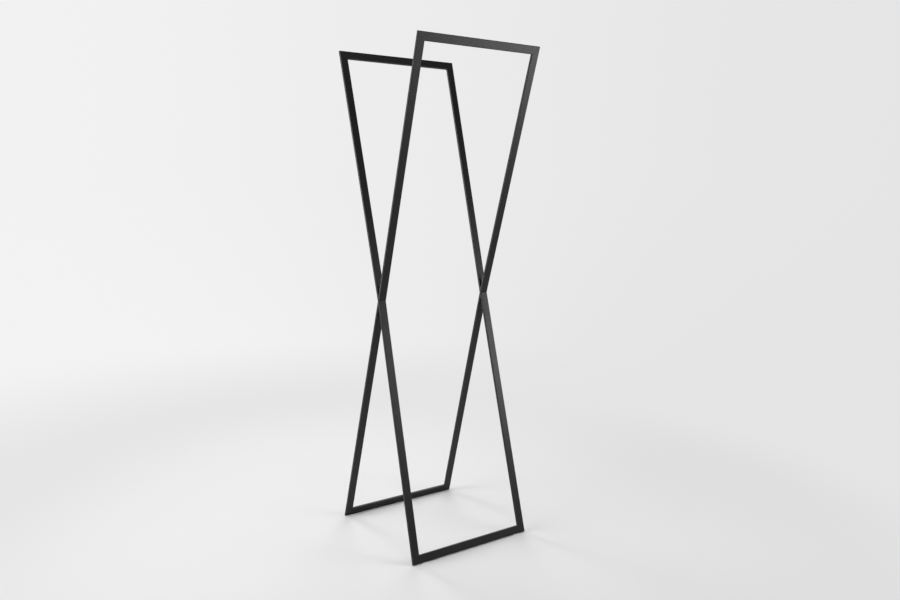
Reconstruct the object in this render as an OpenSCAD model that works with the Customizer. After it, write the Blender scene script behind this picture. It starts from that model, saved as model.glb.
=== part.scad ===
// Knock-down clothes stand of rectangular steel tube.
// Four U-shaped frames, each of one rail and two uprights with welded mitres, lean away
// from each other above and below a waist, where their open ends meet. In each side of
// the waist a hidden X-shaped connector plugs into all four tubes and is held there by
// headless socket screws. Wedge-shaped glides level the leaning bottom rails.
// Origin: on the floor, under the middle of the stand. +X is the width, +Z is up,
// and the front is towards -Y.

/* [Stand] */
// Height, from the floor to the top edges of the hanging rails
stand_h = 1850; // [1400:10:2100]
// Depth over the outer edges of the top rails
top_d = 560; // [400:10:800]
// Depth over the outer edges of the bottom rails
bottom_d = 530; // [400:10:800]
// Width of the rails, over both uprights
rail_len = 520; // [420:10:1100]
// How far each upright runs in sideways between its rail and the waist
waist_in = 10; // [0:1:60]

/* [Tube] */
// Wide side of the tube
tube_w = 30; // [24:1:40]
// Narrow side of the tube
tube_t = 10; // [9:0.5:16]
// Wall of the tube
tube_wall = 1.5; // [1:0.1:1.8]
// Outer corner radius of the tube
tube_r = 2; // [1:0.25:3]
// Open seam between two tube ends at the waist
seam_gap = 0.3; // [0.1:0.05:0.6]

/* [Waist connectors] */
// Length of a connector's leg, measured from the waist
leg_len = 80; // [70:5:150]
// Play between a leg and the inside of its tube, on each side
leg_play = 0.2; // [0.05:0.05:0.3]
// Corner radius of a leg
leg_r = 0.6; // [0.3:0.1:1]
// Length of the taper at a leg's tip
lead_len = 4; // [1:0.5:8]
// Thickness that the taper leaves at a leg's tip
lead_tip = 3.6; // [2:0.2:5]

/* [Connector screws] */
// Diameter of a headless socket screw
screw_d = 4; // [3:0.5:4.5]
// Length of a screw
screw_len = 12; // [8:1:18]
// Depth of a screw's outer end below the face of the tube
screw_sunk = 0.4; // [0.1:0.1:1]
// Bevel round both ends of a screw
screw_bevel = 0.5; // [0.2:0.1:0.8]
// Distance of the first screw from the waist
screw_first = 34; // [25:1:40]
// Distance between the two screws in a leg
screw_pitch = 30; // [10:1:36]
// Hexagon socket, across flats
socket_af = 2; // [1.5:0.1:2.5]
// Depth of the hexagon socket
socket_deep = 2.2; // [1:0.1:3]
// Depth of a tapped hole past the end of its screw
tapped_spare = 1; // [0.5:0.5:3]
// Play between a screw and its tapped hole, on the radius
thread_play = 0.05; // [0.02:0.01:0.1]
// Play between a screw and the hole in the tube's wall, on the radius
wall_hole_play = 0.2; // [0.1:0.05:0.4]

/* [Floor glides] */
// Height of the bottom rails' lower edges above the floor
glide_lift = 1; // [0.5:0.25:4]
// Length of a glide, along its rail
glide_len = 24; // [14:1:40]
// Width of a glide, across its rail
glide_w = 9; // [7:0.5:9]
// Corner radius of a glide
glide_r = 2; // [1:0.25:3]
// Distance of a glide's middle from the end of its rail
glide_inset = 48; // [46:1:100]
// Diameter of the stem that is pushed into the rail
stem_d = 4.5; // [3:0.25:5]
// Length of the stem
stem_len = 9; // [6:0.5:14]
// Height of the snap ridge round the stem
stem_snap = 0.4; // [0.2:0.1:0.5]
// Play between the stem and its hole, on the radius
stem_play = 0.1; // [0.05:0.05:0.2]

/* [Hidden] */
$fn = 48;

RIGHT = 0;
LEFT = 1;
FRONT = 0;
REAR = 1;
UPPER = 0;
LOWER = 1;

// The waist is midway between the lowest edges of the bottom rails and the highest edges
// of the top ones, so the upper and lower frames rise equally from it
frame_rise = (stand_h - glide_lift) / 2;
waist_z = glide_lift + frame_rise;

// A frame's height and depth are both set by rounded corners of its rail. Their centres
// are this far above the waist, and this far off the middle of the tube's thickness.
corner_up = frame_rise - tube_r;
corner_off = tube_t / 2 - tube_r;

// A frame's lean from upright. The tube's thickness turns it by a little that depends on
// the lean itself, so it is found by repeated correction.
lean_steps = 6;
function plain_lean(corner_out) = atan2(corner_out, corner_up);
function turned_by(corner_out, lean) =
    asin(corner_off * cos(2 * lean) / norm([corner_up, corner_out]));
function lean_after(corner_out, lean, steps) = steps == 0 ? lean : lean_after(
    corner_out, plain_lean(corner_out) - turned_by(corner_out, lean), steps - 1);
function frame_lean(depth) =
    lean_after(depth / 2 - tube_r, plain_lean(depth / 2 - tube_r), lean_steps);

// Of the upper frames, then of the lower ones: the lean, the length from the waist to the
// rail's outer edge in the frame's own plane, the angle by which an upright runs in
// towards the waist, and the angle between the rail and the mitre at its end
lean = [frame_lean(top_d), frame_lean(bottom_d)];
frame_len = [for (a = lean) (corner_up - corner_off * sin(a)) / cos(a) + tube_r];
taper = [for (l = frame_len) atan2(waist_in, l)];
mitre = [for (a = taper) 45 - a / 2];

bore_w = tube_w - 2 * tube_wall;
bore_t = tube_t - 2 * tube_wall;
least_bore_r = 0.3;
bore_r = max(tube_r - tube_wall, least_bore_r);
leg_w = bore_w - 2 * leg_play;
leg_t = bore_t - 2 * leg_play;
screw_places = [screw_first, screw_first + screw_pitch];
glide_x = rail_len / 2 - glide_inset;

// Length by which a cutting shape runs past the face that it cuts
over = 1;
// Length by which a tube or a glide is drawn too long, before it is cut at an angle
uncut = tube_w;
// Size of a block that covers everything on one side of a plane
beyond = stand_h + top_d + bottom_d + rail_len;

satin_black = [0.16, 0.16, 0.17];
raw_aluminium = [0.62, 0.63, 0.65];
dark_steel = [0.25, 0.25, 0.27];
natural_nylon = [0.84, 0.83, 0.79];

// Rectangle with round corners, centred
module round_rect(w, t, r) {
    square([w - 2 * r, t], center = true);
    square([w, t - 2 * r], center = true);
    for (x = [-1, 1], y = [-1, 1])
        translate([x * (w / 2 - r), y * (t / 2 - r)])
            circle(r);
}

module tube_section() {
    difference() {
        round_rect(tube_w, tube_t, tube_r);
        round_rect(bore_w, bore_t, bore_r);
    }
}

// Every piece is drawn for the front right quarter as if it were above the waist, with
// zero at the waist, and this carries it to the quarter that it belongs to.
module quarter(side, face, level) {
    translate([0, 0, waist_z])
        mirror([0, 0, level])
            mirror([0, face, 0])
                mirror([side, 0, 0])
                    children();
}

// Keeps what is in front of and above the waist, leaving half of a gap on each plane
module kept_in_quarter(gap) {
    intersection() {
        children();
        translate([-beyond / 2, -beyond - gap / 2, gap / 2])
            cube([beyond, beyond, beyond]);
    }
}

// A frame's own plane: Z runs from the waist to the rail, Y through the tube's thickness
module in_frame(level) {
    rotate([lean[level], 0, 0]) children();
}

// An upright's own line: Z runs along its outer side from the waist, where X is zero
module on_upright(level) {
    in_frame(level)
        translate([rail_len / 2 - waist_in, 0, 0])
            rotate([0, taper[level], 0])
                children();
}

// The block beyond the mitre at a frame's outer corner, on the rail's or the upright's side
module mitre_block(level, on_rail_side) {
    in_frame(level)
        translate([rail_len / 2, 0, frame_len[level]])
            rotate([0, -mitre[level], 0])
                translate([-beyond / 2, -beyond / 2, on_rail_side ? 0 : -beyond])
                    cube(beyond);
}

// Places along an upright where screws enter its inner narrow side. Z points inwards.
module at_screws(level, depth) {
    on_upright(level)
        for (along = screw_places)
            translate([-tube_w + depth, 0, along])
                rotate([0, 90, 0])
                    children();
}

module upright(level) {
    kept_in_quarter(seam_gap)
        difference() {
            on_upright(level)
                translate([-tube_w / 2, 0, -uncut])
                    linear_extrude(frame_len[level] + 2 * uncut) tube_section();
            mitre_block(level, true);
            at_screws(level, -over)
                cylinder(r = screw_d / 2 + wall_hole_play, h = tube_wall + 2 * over);
        }
}

module rail(level) {
    difference() {
        in_frame(level)
            translate([0, 0, frame_len[level] - tube_w / 2])
                rotate([0, 90, 0])
                    linear_extrude(rail_len, center = true) tube_section();
        for (side = [RIGHT, LEFT])
            mirror([side, 0, 0]) mitre_block(level, false);
        if (level == LOWER)
            in_frame(level)
                for (x = [-glide_x, glide_x])
                    translate([x, 0, frame_len[level] - tube_wall - over])
                        cylinder(r = stem_d / 2 + stem_play, h = tube_wall + 2 * over);
    }
}

// Outline of a leg seen on its narrow side, with the taper at its tip
module leg_outline() {
    shoulder = leg_len - lead_len;
    polygon([
        [-leg_w, -leg_t / 2], [shoulder, -leg_t / 2], [leg_len, -lead_tip / 2],
        [leg_len, lead_tip / 2], [shoulder, leg_t / 2], [-leg_w, leg_t / 2]
    ]);
}

module connector_leg(level) {
    hole_deep = screw_sunk + screw_len + tapped_spare;
    kept_in_quarter(0)
        difference() {
            on_upright(level)
                translate([-tube_w / 2, 0, 0])
                    intersection() {
                        translate([0, 0, -leg_w])
                            linear_extrude(leg_len + leg_w)
                                round_rect(leg_w, leg_t, leg_r);
                        rotate([0, -90, 0])
                            linear_extrude(leg_w, center = true) leg_outline();
                    }
            at_screws(level, 0)
                cylinder(r = screw_d / 2 + thread_play, h = hole_deep);
        }
}

module waist_connector(side) {
    for (face = [FRONT, REAR], level = [UPPER, LOWER])
        quarter(side, face, level) connector_leg(level);
}

// Headless screw, bevelled at both ends, with a hexagon socket in the end at zero
module socket_screw() {
    tip_r = screw_d / 2 - screw_bevel;
    difference() {
        rotate_extrude()
            polygon([
                [0, 0], [tip_r, 0], [screw_d / 2, screw_bevel],
                [screw_d / 2, screw_len - screw_bevel], [tip_r, screw_len], [0, screw_len]
            ]);
        translate([0, 0, -over])
            cylinder(d = socket_af / cos(30), h = socket_deep + over, $fn = 6);
    }
}

module connector_screws(side) {
    for (face = [FRONT, REAR], level = [UPPER, LOWER])
        quarter(side, face, level)
            at_screws(level, screw_sunk) socket_screw();
}

// Stem with a snap ridge behind the rail's wall. Zero is the rail's face, and the stem
// runs down from it.
module glide_stem() {
    ridge_top = -tube_wall - stem_play;
    ridge_len = 2 * stem_snap;
    translate([0, 0, -stem_len])
        cylinder(d = stem_d, h = stem_len + over);
    translate([0, 0, ridge_top - ridge_len])
        cylinder(r1 = stem_d / 2, r2 = stem_d / 2 + stem_snap, h = ridge_len);
}

// Wedge that is square to the rail on one side and flat to the floor on the other
module glide() {
    intersection() {
        in_frame(LOWER)
            translate([glide_x, 0, frame_len[LOWER]]) {
                linear_extrude(glide_lift + uncut)
                    round_rect(glide_len, glide_w, glide_r);
                glide_stem();
            }
        translate([-beyond / 2, -bottom_d / 2, waist_z - beyond])
            cube([beyond, bottom_d, beyond]);
    }
}

module upright_at(side, face, level) {
    color(satin_black) quarter(side, face, level) upright(level);
}

module rail_at(face, level) {
    color(satin_black) quarter(RIGHT, face, level) rail(level);
}

module glide_at(side, face) {
    color(natural_nylon) quarter(side, face, LOWER) glide();
}

module connector_at(side) {
    color(raw_aluminium) waist_connector(side);
}

module screws_at(side) {
    color(dark_steel) connector_screws(side);
}

rail_at(FRONT, UPPER);  // top_rail_front
rail_at(REAR, UPPER);  // top_rail_rear
rail_at(FRONT, LOWER);  // bottom_rail_front
rail_at(REAR, LOWER);  // bottom_rail_rear
upright_at(RIGHT, FRONT, UPPER);  // upright_front_right_upper
upright_at(LEFT, FRONT, UPPER);  // upright_front_left_upper
upright_at(RIGHT, REAR, UPPER);  // upright_rear_right_upper
upright_at(LEFT, REAR, UPPER);  // upright_rear_left_upper
upright_at(RIGHT, FRONT, LOWER);  // upright_front_right_lower
upright_at(LEFT, FRONT, LOWER);  // upright_front_left_lower
upright_at(RIGHT, REAR, LOWER);  // upright_rear_right_lower
upright_at(LEFT, REAR, LOWER);  // upright_rear_left_lower
connector_at(RIGHT);  // waist_connector_right
connector_at(LEFT);  // waist_connector_left
screws_at(RIGHT);  // connector_screws_right
screws_at(LEFT);  // connector_screws_left
glide_at(RIGHT, FRONT);  // glide_front_right
glide_at(LEFT, FRONT);  // glide_front_left
glide_at(RIGHT, REAR);  // glide_rear_right
glide_at(LEFT, REAR);  // glide_rear_left
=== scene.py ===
"""Finishes, corner welds and studio for the clothes stand.

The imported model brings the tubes, waist connectors, screws and glides. This script gives
each of them its finish, adds the dressed welds at the eight mitred corners, and sets up a
pale studio. Lengths are in metres: +X is the width, the front is towards -Y, +Z is up.
"""
import math
from itertools import product

import bpy
from mathutils import Matrix, Vector


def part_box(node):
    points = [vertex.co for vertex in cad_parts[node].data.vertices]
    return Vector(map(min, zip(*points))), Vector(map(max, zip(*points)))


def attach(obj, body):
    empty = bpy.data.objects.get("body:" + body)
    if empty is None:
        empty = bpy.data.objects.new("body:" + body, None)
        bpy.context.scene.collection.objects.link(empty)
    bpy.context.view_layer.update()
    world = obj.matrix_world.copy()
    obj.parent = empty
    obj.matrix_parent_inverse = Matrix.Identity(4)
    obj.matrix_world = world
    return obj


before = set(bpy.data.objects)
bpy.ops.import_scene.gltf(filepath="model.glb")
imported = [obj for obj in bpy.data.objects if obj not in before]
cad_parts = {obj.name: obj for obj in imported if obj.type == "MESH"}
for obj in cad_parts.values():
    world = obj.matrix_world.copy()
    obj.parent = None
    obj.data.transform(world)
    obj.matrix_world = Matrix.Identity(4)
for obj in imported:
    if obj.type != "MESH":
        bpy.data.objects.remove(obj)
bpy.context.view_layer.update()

MM = 0.001

# The stand's tube and the way its frames are laid out, as in the part's source
TUBE_W = 30 * MM
TUBE_T = 10 * MM
TUBE_WALL = 1.5 * MM
TUBE_R = 2 * MM
WAIST_IN = 10 * MM

# Rounds that settle a frame's lean, each of them on the one before
LEAN_STEPS = 6

SIDES = {"right": 1, "left": -1}
FACES = {"front": 1, "rear": -1}
LEVELS = {"top": 1, "bottom": -1}
LEVEL_OF_UPRIGHT = {"top": "upper", "bottom": "lower"}

OUTWARDS = Vector((1, 0, 0))


class LeaningFrame:
    """One U-shaped frame, measured on its rail: its lean, its length and its own axes.

    Along runs from the waist to the rail in the frame's plane, and through runs through
    the tube's thickness. They are kept for the front right quarter, above the waist.
    """

    def __init__(self, level):
        low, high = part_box(f"{level}_rail_front")
        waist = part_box("upright_front_right_upper")[0].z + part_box("upright_front_right_lower")[1].z
        self.waist_z = waist / 2
        self.half_rail = (high.x - low.x) / 2
        rail_edge = high.z if level == "top" else low.z
        corner_up = abs(rail_edge - self.waist_z) - TUBE_R
        corner_out = -low.y - TUBE_R
        corner_off = TUBE_T / 2 - TUBE_R
        plain_lean = math.atan2(corner_out, corner_up)
        lean = plain_lean
        for _ in range(LEAN_STEPS):
            lean = plain_lean - math.asin(
                corner_off * math.cos(2 * lean) / math.hypot(corner_up, corner_out))
        self.length = (corner_up - corner_off * math.sin(lean)) / math.cos(lean) + TUBE_R
        self.taper = math.atan2(WAIST_IN, self.length)
        self.along = Vector((0, -math.sin(lean), math.cos(lean)))
        self.through = Vector((0, math.cos(lean), math.sin(lean)))

    def inner_corner(self):
        """Place of the opening's corner: across from the middle, and along from the waist."""
        along = self.length - TUBE_W
        across = self.half_rail - WAIST_IN * TUBE_W / self.length - TUBE_W / math.cos(self.taper)
        return across, along


LEANING = {level: LeaningFrame(level) for level in LEVELS}
WAIST_Z = LEANING["top"].waist_z


def quarter(side, face, level):
    """Carries what is drawn for the front right quarter above the waist to another one."""
    mirror = Matrix.Diagonal((SIDES[side], FACES[face], LEVELS[level], 1))
    return Matrix.Translation((0, 0, WAIST_Z)) @ mirror


def place_of(origin, axis_x, axis_y, axis_z):
    """Matrix of a piece's own axes, set at its origin."""
    turned = Matrix((axis_x, axis_y, axis_z)).transposed().to_4x4()
    return Matrix.Translation(origin) @ turned


def upright_place(side, face, level):
    """An upright's own axes: X over the wide side, Y through the thickness, Z along."""
    leaning = LEANING[level]
    slope = leaning.taper
    axis_z = math.sin(slope) * OUTWARDS + math.cos(slope) * leaning.along
    axis_x = math.cos(slope) * OUTWARDS - math.sin(slope) * leaning.along
    outer_side = OUTWARDS * (leaning.half_rail - WAIST_IN)
    origin = outer_side - axis_x * TUBE_W / 2
    return quarter(side, face, level) @ place_of(origin, axis_x, leaning.through, axis_z)


def rail_place(face, level):
    """A rail's own axes: X over the wide side, Y through the thickness, Z along."""
    leaning = LEANING[level]
    origin = leaning.along * (leaning.length - TUBE_W / 2)
    axes = (leaning.along, leaning.through, OUTWARDS)
    return quarter("right", face, level) @ place_of(origin, *axes)


# Shader building

# Where a Mix node keeps its two values and its result, for each kind of data
MIX_PLACES = {"RGBA": (6, 7, 2), "FLOAT": (2, 3, 0)}

# Noise keeps mostly within this span
NOISE_SPAN = (0.3, 0.7)


def add_node(tree, kind, **settings):
    """A shader node with its settings."""
    node = tree.nodes.new(f"ShaderNode{kind}")
    for name, value in settings.items():
        setattr(node, name, value)
    return node


def feed(tree, socket, value):
    """Links an output to a socket, or sets a constant on it."""
    if isinstance(value, bpy.types.NodeSocket):
        tree.links.new(value, socket)
    else:
        socket.default_value = value


def calculate(tree, operation, *values):
    """One Math node, clamped nowhere."""
    node = add_node(tree, "Math", operation=operation)
    for socket, value in zip(node.inputs, values):
        feed(tree, socket, value)
    return node.outputs["Value"]


def split(tree, vector):
    """The X, Y and Z of a vector."""
    node = add_node(tree, "SeparateXYZ")
    feed(tree, node.inputs["Vector"], vector)
    return node.outputs


def map_range(tree, value, given, wanted, **settings):
    """A value carried over from the given span to the wanted one."""
    node = add_node(tree, "MapRange", **settings)
    feed(tree, node.inputs["Value"], value)
    for end, given_end, wanted_end in zip(("Min", "Max"), given, wanted):
        feed(tree, node.inputs[f"From {end}"], given_end)
        feed(tree, node.inputs[f"To {end}"], wanted_end)
    return node.outputs["Result"]


def ramp(tree, value, start, end, low=0.0, high=1.0):
    """Smooth step of a value, from low at its start to high at its end."""
    return map_range(tree, value, (start, end), (low, high), interpolation_type="SMOOTHSTEP")


def spread(tree, value, low=0.0, high=1.0):
    """A noise value, which keeps to the middle, stretched to reach from low to high."""
    return map_range(tree, value, NOISE_SPAN, (low, high), clamp=True)


def noise(tree, place, size, detail=2.0, roughness=0.5):
    """Noise whose features are about as large as size."""
    node = add_node(tree, "TexNoise")
    feed(tree, node.inputs["Vector"], place)
    feed(tree, node.inputs["Scale"], calculate(tree, "DIVIDE", 1.0, size))
    node.inputs["Detail"].default_value = detail
    node.inputs["Roughness"].default_value = roughness
    return node.outputs["Fac"]


def mix(tree, kind, share, first, second):
    """One Mix node: the first value where share is 0, and the second where it is 1."""
    node = add_node(tree, "Mix", data_type=kind)
    first_place, second_place, result_place = MIX_PLACES[kind]
    feed(tree, node.inputs["Factor"], share)
    feed(tree, node.inputs[first_place], first)
    feed(tree, node.inputs[second_place], second)
    return node.outputs[result_place]


def with_alpha(colour):
    """A written colour with the alpha that a socket wants. An output stays as it is."""
    return colour if isinstance(colour, bpy.types.NodeSocket) else (*colour, 1)


def mix_colours(tree, share, first, second):
    """The first colour where share is 0, and the second where it is 1."""
    return mix(tree, "RGBA", share, with_alpha(first), with_alpha(second))


def mix_values(tree, share, first, second):
    """The first number where share is 0, and the second where it is 1."""
    return mix(tree, "FLOAT", share, first, second)


def mix_shaders(tree, share, first, second):
    """The first shader where share is 0, and the second where it is 1."""
    node = add_node(tree, "MixShader")
    feed(tree, node.inputs["Fac"], share)
    tree.links.new(first.outputs[0], node.inputs[1])
    tree.links.new(second.outputs[0], node.inputs[2])
    return node


def shaded(colour, share):
    """A written colour, darker or lighter by one share."""
    return [share * part for part in colour]


def start_group(name, inputs, outputs):
    """An empty shader group with named inputs and outputs."""
    group = bpy.data.node_groups.new(name, "ShaderNodeTree")
    for socket_name, kind in inputs.items():
        group.interface.new_socket(socket_name, in_out="INPUT", socket_type=f"NodeSocket{kind}")
    for socket_name in outputs:
        group.interface.new_socket(socket_name, in_out="OUTPUT", socket_type="NodeSocketFloat")
    given = group.nodes.new("NodeGroupInput").outputs
    results = group.nodes.new("NodeGroupOutput").inputs
    return group, given, results


def place_group(tree, group, **values):
    """A group placed in a material, with its own values. Returns its outputs."""
    node = add_node(tree, "Group", node_tree=group)
    for name, value in values.items():
        feed(tree, node.inputs[name.replace("_", " ")], value)
    return node.outputs


def start_material(name):
    """A Principled material, and the stand's own coordinates in it."""
    material = bpy.data.materials.new(name)
    material.use_nodes = True
    tree = material.node_tree
    shader = next(node for node in tree.nodes if node.type == "BSDF_PRINCIPLED")
    return material, tree, shader, add_node(tree, "TexCoord").outputs["Object"]


def on_own_axes(tree, coordinates, place):
    """The same coordinates, turned and moved to the axes of one tube.

    A Mapping node can't mirror, so a mirrored tube has its Z measured the other way.
    """
    mapping = add_node(tree, "Mapping", vector_type="POINT")
    if place.determinant() < 0:
        place = place @ Matrix.Diagonal((1, 1, -1, 1))
    own_axes = place.inverted()
    mapping.inputs["Location"].default_value = own_axes.to_translation()
    mapping.inputs["Rotation"].default_value = own_axes.to_euler("XYZ")
    tree.links.new(coordinates, mapping.inputs["Vector"])
    return mapping.outputs["Vector"]


def bump(tree, shader, height, depth):
    """Bump whose height of 1 stands depth proud of the surface."""
    node = add_node(tree, "Bump")
    node.inputs["Strength"].default_value = 1
    node.inputs["Distance"].default_value = depth
    feed(tree, node.inputs["Height"], height)
    tree.links.new(node.outputs["Normal"], shader.inputs["Normal"])


# Effects that several finishes share

# The finest relief shows as flecks from the first of these heights, fully at the second
FLECK_FROM = 0.56
FLECK_FULL = 0.72

# Dust starts to lie where the normal rises this much, and lies fully where it points up
DUST_FROM = 0.15
STRAIGHT_UP = 1.0
DUST_PATCH = 12 * MM
DUST_THINNEST = 0.35

# The edge of the arris mask strays by this much, in waves of this size
ARRIS_WAVE = 20 * MM
ARRIS_STRAY = 0.25 * MM
# The arris mask is full nearer to the tube's outer sides than this share of the radius
ARRIS_FULL = 0.2

# Rub marks are thin, drawn out along Z by a scale under 1, and gathered in patches
RUB_Z_SCALE = 0.03
RUB_THIN = 0.4 * MM
RUB_FROM = 0.6
RUB_FULL = 0.72
RUB_PATCH = 30 * MM
RUB_PATCH_FROM = 0.5
RUB_PATCH_FULL = 0.65


def grain_group():
    """Two sizes of relief and a slow cloudiness, as cured powder or a cast skin has."""
    group, given, results = start_group(
        "surface_grain",
        {"Place": "Vector", "Fine Size": "Float", "Peel Size": "Float", "Cloud Size": "Float",
         "Peel Share": "Float"},
        ("Height", "Fleck", "Cloud"))
    fine = noise(group, given["Place"], given["Fine Size"], detail=3.0)
    peel = noise(group, given["Place"], given["Peel Size"], detail=1.0)
    cloud = noise(group, given["Place"], given["Cloud Size"], detail=3.0, roughness=0.6)
    feed(group, results["Height"], mix_values(group, given["Peel Share"], fine, peel))
    feed(group, results["Fleck"], ramp(group, fine, FLECK_FROM, FLECK_FULL))
    feed(group, results["Cloud"], spread(group, cloud))
    return group


def dust_group():
    """Mask of the fine dust that settles on what faces up, in uneven patches."""
    group, given, results = start_group(
        "settled_dust", {"Place": "Vector", "Amount": "Float"}, ("Mask",))
    rise = split(group, add_node(group, "NewGeometry").outputs["Normal"])["Z"]
    facing_up = ramp(group, rise, DUST_FROM, STRAIGHT_UP)
    patches = noise(group, given["Place"], DUST_PATCH, detail=4.0, roughness=0.7)
    uneven = spread(group, patches, low=DUST_THINNEST)
    mask = calculate(group, "MULTIPLY", facing_up, uneven)
    feed(group, results["Mask"], calculate(group, "MULTIPLY", mask, given["Amount"]))
    return group


def tube_group():
    """Masks of a tube's rounded arrises and of its bore, on the tube's own axes."""
    group, given, results = start_group("tube_arrises", {"Place": "Vector"}, ("Arris", "Bore"))
    wave = noise(group, given["Place"], ARRIS_WAVE, detail=3.0)
    stray = spread(group, wave, -ARRIS_STRAY, ARRIS_STRAY)
    parts = split(group, given["Place"])
    near_sides = []
    inside_walls = []
    for axis, size in (("X", TUBE_W), ("Y", TUBE_T)):
        off_middle = calculate(group, "ABSOLUTE", parts[axis])
        near_sides.append(ramp(
            group, calculate(group, "ADD", off_middle, stray),
            size / 2 - TUBE_R, size / 2 - ARRIS_FULL * TUBE_R))
        inside_walls.append(calculate(group, "LESS_THAN", off_middle, (size - TUBE_WALL) / 2))
    feed(group, results["Arris"], calculate(group, "MULTIPLY", *near_sides))
    feed(group, results["Bore"], calculate(group, "MULTIPLY", *inside_walls))
    return group


def rub_group():
    """Mask of fine rub marks that run along Z."""
    group, given, results = start_group(
        "rub_marks", {"Place": "Vector", "Amount": "Float"}, ("Mask",))
    stretched = add_node(group, "Mapping", vector_type="POINT")
    feed(group, stretched.inputs["Vector"], given["Place"])
    stretched.inputs["Scale"].default_value = (1, 1, RUB_Z_SCALE)
    streaks = noise(group, stretched.outputs["Vector"], RUB_THIN, detail=2.0, roughness=0.6)
    patches = noise(group, given["Place"], RUB_PATCH, detail=2.0)
    marks = calculate(group, "MULTIPLY", ramp(group, streaks, RUB_FROM, RUB_FULL),
                      ramp(group, patches, RUB_PATCH_FROM, RUB_PATCH_FULL))
    feed(group, results["Mask"], calculate(group, "MULTIPLY", marks, given["Amount"]))
    return group


GRAIN = grain_group()
DUST = dust_group()
TUBE = tube_group()
RUB = rub_group()

# Satin black powder coat, and the dust and bare steel that show with it
COAT_BLACK = (0.0062, 0.0062, 0.0064)
# The thin coat's grey shows in flecks, and over the arrises it is also a painted highlight
COAT_THIN_AND_HIGHLIGHT = (0.036, 0.036, 0.037)
COAT_SPECULAR = 0.34
DUST_GREY = (0.26, 0.25, 0.24)
DUST_AMOUNT = 0.10
DUST_ROUGHNESS = 0.85

# On the tubes. How strongly flecks, thin arrises with their painted highlight, and rub marks show is
# given from 0 to 1, and a pair of roughnesses, here and below, runs from a finish's darker clouds to
# its paler ones.
TUBE_GRAIN = {
    "Fine_Size": 0.5 * MM, "Peel_Size": 2.6 * MM, "Cloud_Size": 110 * MM, "Peel_Share": 0.6}
TUBE_RELIEF = 0.08 * MM
TUBE_DARKEST = 0.86
TUBE_FLECKS = 0.12
TUBE_ARRIS_THIN_AND_HIGHLIGHT = 0.8
TUBE_RUBBING = 0.12
TUBE_ROUGHNESS = (0.42, 0.44)
ARRIS_ROUGHNESS = 0.38
RUBBED_ROUGHNESS = 0.30
BARE_STEEL = (0.30, 0.29, 0.28)
BARE_ROUGHNESS = 0.5


def satin_black_coat(name, place):
    """Satin black powder coat, thinner over the tube's arrises with a painted highlight there, and
    bare steel in its bore.

    The frames are coated once they are welded, so the coat's grain runs on over the mitres.
    """
    material, tree, shader, coordinates = start_material(name)
    on_tube = on_own_axes(tree, coordinates, place)
    grain = place_group(tree, GRAIN, Place=coordinates, **TUBE_GRAIN)
    tube = place_group(tree, TUBE, Place=on_tube)
    dust = place_group(tree, DUST, Place=coordinates, Amount=DUST_AMOUNT)["Mask"]
    rub = place_group(tree, RUB, Place=on_tube, Amount=TUBE_RUBBING)["Mask"]
    flecks = calculate(tree, "MULTIPLY", grain["Fleck"], TUBE_FLECKS)
    thin_and_highlight = calculate(tree, "MULTIPLY", tube["Arris"], TUBE_ARRIS_THIN_AND_HIGHLIGHT)
    colour = mix_colours(tree, grain["Cloud"], shaded(COAT_BLACK, TUBE_DARKEST), COAT_BLACK)
    colour = mix_colours(tree, flecks, colour, COAT_THIN_AND_HIGHLIGHT)
    # Over the arrises the paler grey is a thinner coat and partly a painted highlight
    colour = mix_colours(tree, thin_and_highlight, colour, COAT_THIN_AND_HIGHLIGHT)
    colour = mix_colours(tree, dust, colour, DUST_GREY)
    colour = mix_colours(tree, tube["Bore"], colour, BARE_STEEL)
    feed(tree, shader.inputs["Base Color"], colour)
    roughness = mix_values(tree, grain["Cloud"], *TUBE_ROUGHNESS)
    roughness = mix_values(tree, tube["Arris"], roughness, ARRIS_ROUGHNESS)
    roughness = mix_values(tree, rub, roughness, RUBBED_ROUGHNESS)
    roughness = mix_values(tree, dust, roughness, DUST_ROUGHNESS)
    roughness = mix_values(tree, tube["Bore"], roughness, BARE_ROUGHNESS)
    feed(tree, shader.inputs["Roughness"], roughness)
    feed(tree, shader.inputs["Metallic"], tube["Bore"])
    shader.inputs["Specular IOR Level"].default_value = COAT_SPECULAR
    bump(tree, shader, grain["Height"], TUBE_RELIEF)
    return material


# Over the welds
WELD_GRAIN = {
    "Fine_Size": 0.5 * MM, "Peel_Size": 1.8 * MM, "Cloud_Size": 30 * MM, "Peel_Share": 0.5}
WELD_RELIEF = 0.06 * MM
WELD_PALEST = 1.15
WELD_ROUGHNESS = (0.42, 0.46)


def satin_black_weld():
    """The same coat over a weld, a little paler and rougher in places than on the tube."""
    material, tree, shader, coordinates = start_material("satin_black_weld")
    grain = place_group(tree, GRAIN, Place=coordinates, **WELD_GRAIN)
    dust = place_group(tree, DUST, Place=coordinates, Amount=DUST_AMOUNT)["Mask"]
    colour = mix_colours(tree, grain["Cloud"], COAT_BLACK, shaded(COAT_BLACK, WELD_PALEST))
    feed(tree, shader.inputs["Base Color"], mix_colours(tree, dust, colour, DUST_GREY))
    roughness = mix_values(tree, grain["Cloud"], *WELD_ROUGHNESS)
    feed(tree, shader.inputs["Roughness"], mix_values(tree, dust, roughness, DUST_ROUGHNESS))
    shader.inputs["Specular IOR Level"].default_value = COAT_SPECULAR
    bump(tree, shader, grain["Height"], WELD_RELIEF)
    return material


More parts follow.
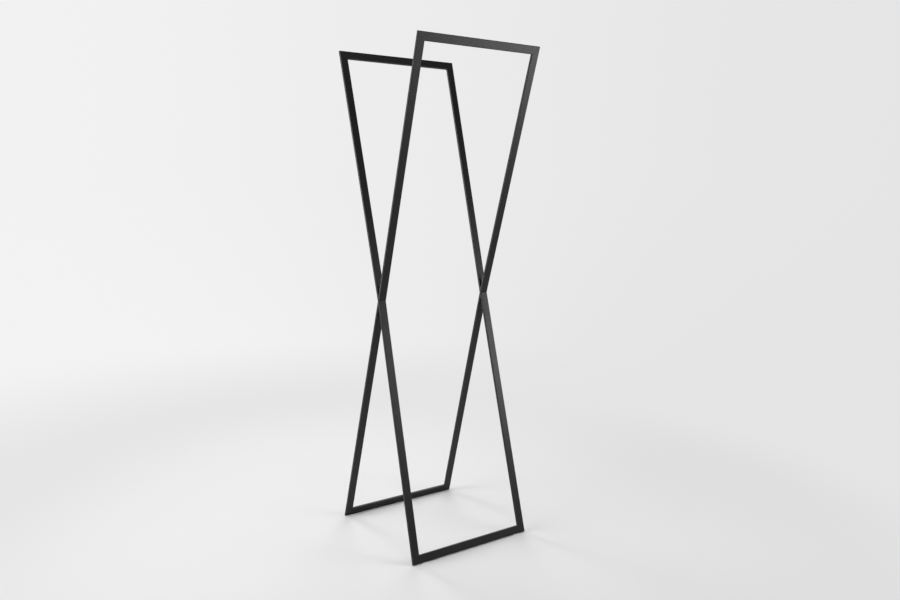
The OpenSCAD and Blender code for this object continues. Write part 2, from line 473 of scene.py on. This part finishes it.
# Waist connectors
CAST_GRAIN = {
    "Fine_Size": 0.4 * MM, "Peel_Size": 1.6 * MM, "Cloud_Size": 20 * MM, "Peel_Share": 0.45}
CAST_RELIEF = 0.08 * MM
CAST_DULL = (0.46, 0.47, 0.48)
CAST_PALE = (0.62, 0.63, 0.64)
CAST_FLECK = (0.33, 0.33, 0.34)
CAST_FLECKS = 0.5
CAST_ROUGHNESS = (0.42, 0.60)
CAST_RUBBING = 0.8
CAST_RUBBED = (0.80, 0.81, 0.82)
CAST_RUBBED_ROUGHNESS = 0.25


def cast_aluminium():
    """Die-cast aluminium: a pebbled grey skin with dark flecks, brighter where rubbed."""
    material, tree, shader, coordinates = start_material("cast_aluminium")
    grain = place_group(tree, GRAIN, Place=coordinates, **CAST_GRAIN)
    rub = place_group(tree, RUB, Place=coordinates, Amount=CAST_RUBBING)["Mask"]
    flecks = calculate(tree, "MULTIPLY", grain["Fleck"], CAST_FLECKS)
    colour = mix_colours(tree, grain["Cloud"], CAST_DULL, CAST_PALE)
    colour = mix_colours(tree, flecks, colour, CAST_FLECK)
    feed(tree, shader.inputs["Base Color"], mix_colours(tree, rub, colour, CAST_RUBBED))
    roughness = mix_values(tree, grain["Cloud"], *CAST_ROUGHNESS)
    roughness = mix_values(tree, rub, roughness, CAST_RUBBED_ROUGHNESS)
    feed(tree, shader.inputs["Roughness"], roughness)
    shader.inputs["Metallic"].default_value = 1
    bump(tree, shader, grain["Height"], CAST_RELIEF)
    return material


# Connector screws
SCREW_GRAIN = {
    "Fine_Size": 0.2 * MM, "Peel_Size": 1.2 * MM, "Cloud_Size": 5 * MM, "Peel_Share": 0.3}
SCREW_DARK = (0.045, 0.045, 0.050)
SCREW_WORN = (0.085, 0.083, 0.085)
SCREW_ROUGHNESS = (0.28, 0.42)
SCREW_METALLIC = 0.9
THREAD_PITCH = 0.7 * MM
THREAD_DEPTH = 0.3 * MM
THREAD_GRAIN = 0.1
# A Wave texture at a scale of 1 turns by this many radians in each metre
WAVE_TURN = 20
CREST_FROM = 0.75
CREST_TOP = 1.0
CREST_BRIGHT = (0.16, 0.16, 0.165)


def dark_screw_steel():
    """Black-oxide screw steel, with a thread's rings along the screws' lines, across X."""
    material, tree, shader, coordinates = start_material("dark_screw_steel")
    grain = place_group(tree, GRAIN, Place=coordinates, **SCREW_GRAIN)
    thread = add_node(tree, "TexWave", bands_direction="X", wave_type="BANDS")
    feed(tree, thread.inputs["Vector"], coordinates)
    thread.inputs["Scale"].default_value = math.tau / (WAVE_TURN * THREAD_PITCH)
    crest = ramp(tree, thread.outputs["Fac"], CREST_FROM, CREST_TOP)
    colour = mix_colours(tree, grain["Cloud"], SCREW_DARK, SCREW_WORN)
    feed(tree, shader.inputs["Base Color"], mix_colours(tree, crest, colour, CREST_BRIGHT))
    feed(tree, shader.inputs["Roughness"], mix_values(tree, grain["Cloud"], *SCREW_ROUGHNESS))
    shader.inputs["Metallic"].default_value = SCREW_METALLIC
    height = mix_values(tree, THREAD_GRAIN, thread.outputs["Fac"], grain["Height"])
    bump(tree, shader, height, THREAD_DEPTH)
    return material


# Glides
NYLON_GRAIN = {
    "Fine_Size": 0.3 * MM, "Peel_Size": 1.2 * MM, "Cloud_Size": 8 * MM, "Peel_Share": 0.4}
NYLON_RELIEF = 0.05 * MM
NYLON_DULL = (0.66, 0.65, 0.60)
NYLON_PALE = (0.72, 0.71, 0.67)
NYLON_ROUGHNESS = (0.38, 0.50)
NYLON_RUBBING = 1.0
NYLON_RUBBED = (0.78, 0.77, 0.74)
SCUFF_GREY = (0.30, 0.29, 0.27)
SCUFF_ROUGHNESS = 0.8
# Scuffs are full up to the first height over the floor, and gone at the second
SCUFF_FULL = 0.1 * MM
SCUFF_GONE = 0.6 * MM
SCUFF_SHARES = (0.2, 0.6)


def natural_nylon():
    """Moulded nylon in its own milky colour, scuffed and grubby on the face on the floor."""
    material, tree, shader, coordinates = start_material("natural_nylon")
    grain = place_group(tree, GRAIN, Place=coordinates, **NYLON_GRAIN)
    rub = place_group(tree, RUB, Place=coordinates, Amount=NYLON_RUBBING)["Mask"]
    height_up = split(tree, coordinates)["Z"]
    near_floor = ramp(tree, height_up, SCUFF_FULL, SCUFF_GONE, low=1.0, high=0.0)
    uneven = mix_values(tree, grain["Cloud"], *SCUFF_SHARES)
    scuff = calculate(tree, "MULTIPLY", near_floor, uneven)
    colour = mix_colours(tree, grain["Cloud"], NYLON_DULL, NYLON_PALE)
    colour = mix_colours(tree, rub, colour, NYLON_RUBBED)
    feed(tree, shader.inputs["Base Color"], mix_colours(tree, scuff, colour, SCUFF_GREY))
    roughness = mix_values(tree, grain["Cloud"], *NYLON_ROUGHNESS)
    feed(tree, shader.inputs["Roughness"], mix_values(tree, scuff, roughness, SCUFF_ROUGHNESS))
    bump(tree, shader, grain["Height"], NYLON_RELIEF)
    return material


def finish_node(name, material):
    """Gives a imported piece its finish."""
    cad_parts[name].material_slots[0].material = material


def finish_tubes():
    """Coats the four rails and the eight uprights, each on its own axes."""
    for face, level in product(FACES, LEVELS):
        name = f"{level}_rail_{face}"
        finish_node(name, satin_black_coat(f"satin_black_{name}", rail_place(face, level)))
        for side in SIDES:
            name = f"upright_{face}_{side}_{LEVEL_OF_UPRIGHT[level]}"
            place = upright_place(side, face, level)
            finish_node(name, satin_black_coat(f"satin_black_{name}", place))


def finish_fittings():
    """Gives the waist connectors, the screws and the glides their finishes."""
    aluminium = cast_aluminium()
    screw_steel = dark_screw_steel()
    nylon = natural_nylon()
    for side in SIDES:
        finish_node(f"waist_connector_{side}", aluminium)
        finish_node(f"connector_screws_{side}", screw_steel)
        for face in FACES:
            finish_node(f"glide_{face}_{side}", nylon)


# Corner welds: a bead left in the opening's corner, and a dressed seam over each mitre

SECTION_POINTS = 16
BEAD_R = 1.6 * MM
BEAD_SUNK = 0.9 * MM
BEAD_SHORT = 0.6 * MM
BEAD_RIPPLES = 9
SEAM_HALF_W = 0.9 * MM
SEAM_PROUD = 0.09 * MM
SEAM_SHORT = 3.0 * MM
SEAM_RIPPLES = 22
RIPPLE = 0.93
END_SHARES = (0.45, 0.8)
SMOOTH_BELOW = math.radians(60)


def weld_run(name, length, half_w, half_h, ripples):
    """A bead along Z, of rings that swell and draw in, closing down at both ends."""
    bpy.ops.object.select_all(action="DESELECT")
    bpy.ops.mesh.primitive_circle_add(
        vertices=SECTION_POINTS, radius=1, fill_type="NGON", location=(0, 0, 0))
    run = bpy.context.object
    run.name = name
    bpy.ops.object.mode_set(mode="EDIT")
    bpy.ops.mesh.select_all(action="SELECT")
    shares = list(END_SHARES)
    shares += [1.0 if ring % 2 else RIPPLE for ring in range(2 * ripples)]
    shares += reversed(END_SHARES)
    step = length / (len(shares) - 1)
    bpy.ops.transform.resize(value=(half_w * shares[0], half_h * shares[0], 1),
                             center_override=(0, 0, 0))
    for ring in range(1, len(shares)):
        bpy.ops.mesh.extrude_region_move(TRANSFORM_OT_translate={"value": (0, 0, step)})
        change = shares[ring] / shares[ring - 1]
        bpy.ops.transform.resize(value=(change, change, 1), center_override=(0, 0, ring * step))
    bpy.ops.mesh.select_all(action="SELECT")
    bpy.ops.mesh.normals_make_consistent(inside=False)
    bpy.ops.object.mode_set(mode="OBJECT")
    bpy.ops.object.shade_smooth_by_angle(angle=SMOOTH_BELOW)
    return run


def placed_copy(pattern, place):
    """A copy with its own mesh and its place in that mesh."""
    copy = pattern.copy()
    copy.data = pattern.data.copy()
    copy.data.transform(place)
    if place.determinant() < 0:
        copy.data.flip_normals()
    bpy.context.collection.objects.link(copy)
    return copy


def corner_weld(side, face, level, bead, seam, material):
    """The bead in one corner of an opening and the seams over both faces of its mitre."""
    leaning = LEANING[level]
    across, along = leaning.inner_corner()
    inner = OUTWARDS * across + leaning.along * along
    outer = OUTWARDS * leaning.half_rail + leaning.along * leaning.length
    mitre = (outer - inner).normalized()
    square_to_mitre = mitre.cross(leaning.through)
    here = quarter(side, face, level)
    half_t = TUBE_T / 2
    bead_start = inner + mitre * BEAD_SUNK - leaning.through * (half_t - BEAD_SHORT)
    bead_place = place_of(bead_start, mitre, square_to_mitre, leaning.through)
    runs = [placed_copy(bead, here @ bead_place)]
    for outside in (-1, 1):
        seam_start = inner + leaning.through * (half_t * outside)
        seam_place = place_of(seam_start, square_to_mitre, leaning.through, mitre)
        runs.append(placed_copy(seam, here @ seam_place))
    bpy.ops.object.select_all(action="DESELECT")
    for run in runs:
        run.select_set(True)
    bpy.context.view_layer.objects.active = runs[0]
    bpy.ops.object.join()
    weld = bpy.context.object
    weld.name = f"corner_weld_{level}_{face}_{side}"
    weld.data.name = weld.name
    weld.data.materials.append(material)
    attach(weld, "root")


def corner_welds():
    """The welds of all eight mitred corners, from one bead and one seam as patterns."""
    material = satin_black_weld()
    bead = weld_run("bead_pattern", TUBE_T - 2 * BEAD_SHORT, BEAD_R, BEAD_R, BEAD_RIPPLES)
    seam_len = TUBE_W * math.sqrt(2) - SEAM_SHORT
    seam = weld_run("seam_pattern", seam_len, SEAM_HALF_W, SEAM_PROUD, SEAM_RIPPLES)
    for side, face, level in product(SIDES, FACES, LEVELS):
        corner_weld(side, face, level, bead, seam, material)
    for pattern in (bead, seam):
        bpy.data.objects.remove(pattern)


# Studio: the photograph's viewing angle, a pale floor that fades into a pale backdrop

FRAME_W = 900
FOCAL_PIXELS = 804.17
SENSOR_W = 36
CLIP_END = 300
CAMERA_PLACE = (-1.7131, -2.5511, 1.3788)
CAMERA_YAW = math.radians(34.989)
CAMERA_PITCH = math.radians(8.632)
CAMERA_ROLL = math.radians(0.647)


def set_camera():
    """The camera at the photograph's viewing angle."""
    camera = bpy.data.objects.new("camera", bpy.data.cameras.new("camera"))
    camera.data.sensor_width = SENSOR_W
    camera.data.lens = FOCAL_PIXELS / FRAME_W * SENSOR_W
    camera.data.clip_end = CLIP_END
    turned = (Matrix.Rotation(-CAMERA_YAW, 4, "Z")
              @ Matrix.Rotation(math.pi / 2 - CAMERA_PITCH, 4, "X")
              @ Matrix.Rotation(CAMERA_ROLL, 4, "Z"))
    camera.matrix_world = Matrix.Translation(CAMERA_PLACE) @ turned
    bpy.context.collection.objects.link(camera)
    bpy.context.scene.camera = camera


# The backdrop is a little paler towards the left of the photograph than to the right
# This paler side is painted light: the grey falls off away from the side the soft light comes from
PALE_LEFT = (0.89, 0.89, 0.89)
PALE_RIGHT = (0.78, 0.78, 0.78)
STUDIO_RIGHT = (0.82, -0.57, 0)
STUDIO_RIGHT_FROM = -0.6
STUDIO_RIGHT_FULL = 0.6
# In gloss the studio is pale this way, behind the stand and to its left, and dim elsewhere
GLOSS_PALE_WAY = (-0.57, 0.82, 0)
GLOSS_PALE_FROM = -0.4
GLOSS_PALE_FULL = 0.4
DIM_SHARE = 0.03
AMBIENT = 0.08
WHITE = (1, 1, 1, 1)


def seen_share(tree):
    """1 for what is seen directly, in gloss or through glass, 0 for light that is bounced."""
    path = add_node(tree, "LightPath").outputs
    seen = calculate(tree, "MAXIMUM", path["Is Camera Ray"], path["Is Glossy Ray"])
    return calculate(tree, "MAXIMUM", seen, path["Is Transmission Ray"])


def seen_directly(tree):
    """1 for what the camera sees, and 0 for gloss and bounced light."""
    return add_node(tree, "LightPath").outputs["Is Camera Ray"]


def part_along(tree, direction, axis):
    """How far a direction points along a level axis, from -1 to 1."""
    unit = add_node(tree, "VectorMath", operation="NORMALIZE")
    feed(tree, unit.inputs[0], direction)
    along = add_node(tree, "VectorMath", operation="DOT_PRODUCT")
    feed(tree, along.inputs[0], unit.outputs["Vector"])
    along.inputs[1].default_value = axis
    return along.outputs["Value"]


def backdrop_colour(tree, direction):
    """The backdrop's grey in one direction from the stand, with painted light: paler to the left,
    darker to the right.
    """
    to_the_right = part_along(tree, direction, STUDIO_RIGHT)
    share = ramp(tree, to_the_right, STUDIO_RIGHT_FROM, STUDIO_RIGHT_FULL)
    return mix_colours(tree, share, PALE_LEFT, PALE_RIGHT)


def set_backdrop():
    """The world: the backdrop as it is seen, its gloss, and a little even light."""
    world = bpy.data.worlds.new("studio")
    bpy.context.scene.world = world
    world.use_nodes = True
    tree = world.node_tree
    tree.nodes.clear()
    direction = add_node(tree, "TexCoord").outputs["Generated"]
    seen = add_node(tree, "Background")
    feed(tree, seen.inputs["Color"], backdrop_colour(tree, direction))
    pale_way = part_along(tree, direction, GLOSS_PALE_WAY)
    in_gloss = ramp(tree, pale_way, GLOSS_PALE_FROM, GLOSS_PALE_FULL, low=DIM_SHARE)
    strength = calculate(tree, "MAXIMUM", in_gloss, seen_directly(tree))
    feed(tree, seen.inputs["Strength"], strength)
    ambient = add_node(tree, "Background")
    ambient.inputs["Color"].default_value = WHITE
    ambient.inputs["Strength"].default_value = AMBIENT
    mixed = mix_shaders(tree, seen_share(tree), ambient, seen)
    output = add_node(tree, "OutputWorld")
    tree.links.new(mixed.outputs[0], output.inputs["Surface"])


FLOOR_R = 80
FLOOR_SIDES = 96
FLOOR_PALE = (0.88, 0.88, 0.88)
FLOOR_ROUGHNESS = 0.9
FLOOR_SPECULAR = 0.1
FADE_START = 0.7
FADE_END = 2.2
# Farther off, the floor is an even grey before it runs into the backdrop
FAR_FLOOR = (0.78, 0.78, 0.78)
BACKDROP_START = 1.6
BACKDROP_END = 4.0


def floor_material():
    """Pale matt floor that fades into the backdrop, and is see-through from below."""
    material, tree, shader, coordinates = start_material("studio_floor")
    shader.inputs["Base Color"].default_value = with_alpha(FLOOR_PALE)
    shader.inputs["Roughness"].default_value = FLOOR_ROUGHNESS
    shader.inputs["Specular IOR Level"].default_value = FLOOR_SPECULAR
    length = add_node(tree, "VectorMath", operation="LENGTH")
    feed(tree, length.inputs[0], coordinates)
    distance = length.outputs["Value"]
    at_backdrop = ramp(tree, distance, BACKDROP_START, BACKDROP_END)
    # Far off, the floor takes the backdrop's grey, with the same painted light falling off to the
    # right
    far_colour = mix_colours(tree, at_backdrop, FAR_FLOOR, backdrop_colour(tree, coordinates))
    glow = add_node(tree, "Emission")
    feed(tree, glow.inputs["Color"], far_colour)
    far = ramp(tree, distance, FADE_START, FADE_END)
    faded = mix_shaders(
        tree, calculate(tree, "MULTIPLY", far, seen_directly(tree)), shader, glow)
    backfacing = add_node(tree, "NewGeometry").outputs["Backfacing"]
    see_through = add_node(tree, "BsdfTransparent")
    finished = mix_shaders(tree, backfacing, faded, see_through)
    output = next(node for node in tree.nodes if node.type == "OUTPUT_MATERIAL")
    tree.links.new(finished.outputs[0], output.inputs["Surface"])
    return material


def set_floor():
    """A wide level floor under the glides."""
    bpy.ops.object.select_all(action="DESELECT")
    bpy.ops.mesh.primitive_circle_add(
        vertices=FLOOR_SIDES, radius=FLOOR_R, fill_type="NGON", location=(0, 0, 0))
    floor = bpy.context.object
    floor.name = "studio_floor"
    floor.data.materials.append(floor_material())


# Soft boxes: place, the point they face, width and height, spread in degrees, power in watts
SOFT_BOXES = {
    "overhead": ((0.0, 0.0, 4.2), (0, 0, 0), (4.0, 4.0), 180, 52),
    "left": ((-3.5, 0.4, 2.3), (0, 0, 0.9), (2.5, 3.4), 110, 50),
    "front_right": ((1.95, -2.15, 1.3), (0, 0, 1.3), (1.5, 0.9), 110, 15.2),
    "rear_left": ((-0.8, 4.0, 1.3), (0, 0, 0.9), (1.1, 2.2), 140, 38),
    "rear_right": ((2.6, 3.2, 2.6), (1.0, 0.3, 0.0), (2.5, 2.5), 140, 40),
}


def set_lights():
    """The soft boxes as area lamps, which the camera itself doesn't see."""
    for name, (place, target, (width, height), spread_degrees, power) in SOFT_BOXES.items():
        lamp = bpy.data.lights.new(f"soft_box_{name}", "AREA")
        lamp.shape = "RECTANGLE"
        lamp.size = width
        lamp.size_y = height
        lamp.spread = math.radians(spread_degrees)
        lamp.energy = power
        box = bpy.data.objects.new(lamp.name, lamp)
        facing = (Vector(target) - Vector(place)).to_track_quat("-Z", "Y")
        box.matrix_world = Matrix.Translation(place) @ facing.to_matrix().to_4x4()
        box.visible_camera = False
        bpy.context.collection.objects.link(box)


set_camera()
finish_tubes()
finish_fittings()
corner_welds()
set_backdrop()
set_floor()
set_lights()
bpy.context.scene.view_settings.view_transform = "Standard"
